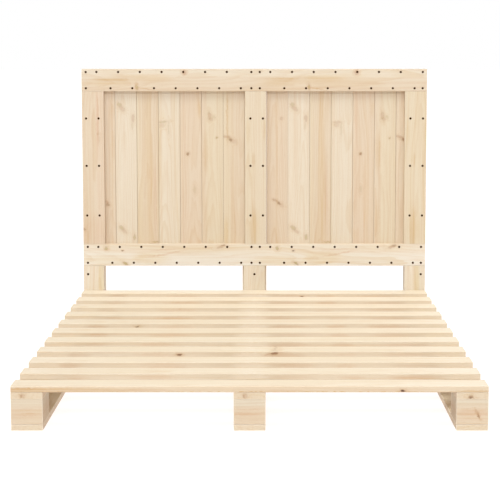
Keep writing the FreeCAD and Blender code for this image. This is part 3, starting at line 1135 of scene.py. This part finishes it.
class BED_OT_bolts(bpy.types.Operator):
    """Puts a hexagon bolt with a washer into every recess behind the posts"""

    bl_idname = "bed.bolts"
    bl_label = "Bolts"

    def execute(self, context):
        zinc = metal(
            "zinc_plate", context.scene.bed_fasteners.zinc, 0.34, 0.95, paint(214, 212, 204)
        )
        dice = random.Random("bolts")
        node = "post_bolts"
        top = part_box(node)[1].y
        stands = []
        for place in ends_of(node, 1, top):
            floor = Vector((place.x, top - BOLT_HEAD, place.z))
            stands.append((floor, (-math.pi / 2, dice.uniform(0, math.pi), 0)))
        master = coach_bolt(BOLT_SHANK)
        place_fasteners("hexagon_bolts", master, stands, zinc, node)
        return {"FINISHED"}


class BED_OT_nails(bpy.types.Operator):
    """Puts a round nail into every nail hole"""

    bl_idname = "bed.nails"
    bl_label = "Nails"

    def execute(self, context):
        wire = metal("nail_wire", context.scene.bed_fasteners.zinc, 0.4, 0.9, paint(150, 146, 140))
        head_up = (0, 0, 0)
        head_down = (math.pi, 0, 0)
        node = "deck_nails"
        low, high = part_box(node)
        stands = [(place, head_down) for place in ends_of(node, 2, low.z)]
        master = wire_nail(high.z - low.z)
        place_fasteners("deck_wire_nails", master, stands, wire, node)
        # The heads under the skids lie a little deeper, clear of the floor
        node = "block_nails"
        low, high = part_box(node)
        sunk = Vector((0, 0, RIM_DEPTH))
        stands = [(place + sunk, head_down) for place in ends_of(node, 2, low.z)]
        stands += [(place, head_up) for place in ends_of(node, 2, high.z)]
        master = wire_nail(BLOCK_NAIL)
        place_fasteners("block_wire_nails", master, stands, wire, node)
        return {"FINISHED"}


# The studio

# The light of the room on the wood is warmer than the white backdrop that the eye sees
ROOM_LIGHT = (1, 0.8, 0.78)
BACKDROP = (1, 1, 1)

# Daylight comes from high in front and from the left, and warmer light from walls all round
DAY = (0.925, 1.0, 1.0)
WALL = (1.0, 0.972, 0.972)
# For each lamp its colour, the spread of its light in degrees and the way from the bed to it
LAMPS = {
    "key": (DAY, 22, (-0.1, -0.47, 1.0)),
    "side": (DAY, 30, (-1.25, -1.0, 2.2)),
    "front": (WALL, 10, (0.0, -1.0, 0.7)),
    "fill": (WALL, 24, (1.0, -1.0, 0.85)),
    "overhead": (WALL, 60, (0.0, -0.15, 1.0)),
    "back": (WALL, 60, (0.35, 1.0, 0.6)),
}

# The camera stands in front of the foot end, a little above the headboard, and looks down
CAMERA_PLACE = (0.0567, -5.8732, 1.2617)
CAMERA_TILT = 5.716
CAMERA_SENSOR = 36


def lay_floor(studio):
    """A wide sheet of white paper."""
    clear_selection()
    bpy.ops.mesh.primitive_plane_add(size=studio.floor_width, location=(0, 0, 0))
    floor = bpy.context.object
    floor.name = "studio_floor"
    sheet = Finish("white_paper")
    tooth = sheet.noise(sheet.object_place(), (0.004, 0.004, 0.004), (0, 0, 0), detail=2)
    glow = {"Emission Color": paint(255, 248, 246), "Emission Strength": 0.92}
    paper = sheet.surface(paint(126, 126, 126), 0.9, tooth, 0.1 * MM, 0.1, **glow)
    floor.data.materials.append(paper)


def fill_room(studio):
    """A backdrop that is white to the eye, with a weaker and warmer light on the wood."""
    room = bpy.data.worlds.new("soft_room")
    room.use_nodes = True
    air = Nodes(room.node_tree)
    eye = air.node("ShaderNodeLightPath", result="Is Camera Ray")
    light = air.node("ShaderNodeBackground", None, {"Color": ROOM_LIGHT, "Strength": studio.sky})
    white = air.node("ShaderNodeBackground", None, {"Color": BACKDROP, "Strength": 1})
    choice = air.node("ShaderNodeMixShader", None, {0: eye, 1: light, 2: white})
    air.end_in("ShaderNodeOutputWorld", choice)
    bpy.context.scene.world = room


def hang_lamps(studio):
    for name, (colour, spread, towards) in LAMPS.items():
        clear_selection()
        bpy.ops.object.light_add(type="SUN")
        light = bpy.context.object
        light.name = name + "_light"
        light.data.energy = getattr(studio, name)
        light.data.color = colour
        light.data.angle = math.radians(spread)
        light.rotation_euler = Vector(towards).to_track_quat("Z", "Y").to_euler()


def set_camera(studio):
    bpy.ops.object.camera_add(location=CAMERA_PLACE)
    camera = bpy.context.object
    camera.rotation_euler = (math.radians(90 - CAMERA_TILT), 0, 0)
    camera.data.lens = studio.lens
    camera.data.sensor_width = CAMERA_SENSOR
    camera.data.shift_x = -0.033
    camera.data.shift_y = -0.10
    bpy.context.scene.camera = camera
    bpy.context.scene.view_settings.view_transform = "Standard"


class BED_OT_studio(bpy.types.Operator):
    """Lays a white floor, hangs the soft lights and sets up the camera"""

    bl_idname = "bed.studio"
    bl_label = "Studio"

    def execute(self, context):
        studio = context.scene.bed_studio
        lay_floor(studio)
        fill_room(studio)
        hang_lamps(studio)
        set_camera(studio)
        clear_selection()
        return {"FINISHED"}


class BED_PT_pieces(bpy.types.Panel):
    """Lists the steps that dress the bed"""

    bl_idname = "BED_PT_pieces"
    bl_label = "Pine bed"
    bl_space_type = "VIEW_3D"
    bl_region_type = "UI"
    bl_category = "Bed"

    def draw(self, context):
        scene = context.scene
        for settings in (scene.bed_timber, scene.bed_fasteners, scene.bed_studio):
            box = self.layout.box()
            for name in settings.bl_rna.properties.keys():
                if name not in ("rna_type", "name"):
                    box.prop(settings, name)
        for step in STEPS:
            self.layout.operator(step.bl_idname)


STEPS = (
    BED_OT_slats,
    BED_OT_lines,
    BED_OT_headboard_frame,
    BED_OT_planks,
    BED_OT_legs,
    BED_OT_screws,
    BED_OT_bolts,
    BED_OT_nails,
    BED_OT_studio,
)
SETTINGS = {
    "bed_timber": TimberSettings,
    "bed_fasteners": FastenerSettings,
    "bed_studio": StudioSettings,
}


def register():
    for name, kind in SETTINGS.items():
        bpy.utils.register_class(kind)
        setattr(bpy.types.Scene, name, bpy.props.PointerProperty(type=kind))
    for kind in (*STEPS, BED_PT_pieces):
        bpy.utils.register_class(kind)


def unregister():
    for kind in (BED_PT_pieces, *reversed(STEPS)):
        bpy.utils.unregister_class(kind)
    for name, kind in SETTINGS.items():
        delattr(bpy.types.Scene, name)
        bpy.utils.unregister_class(kind)


def main():
    register()
    for step in STEPS:
        group, name = step.bl_idname.split(".")
        getattr(getattr(bpy.ops, group), name)()


if __name__ == "__main__":
    main()
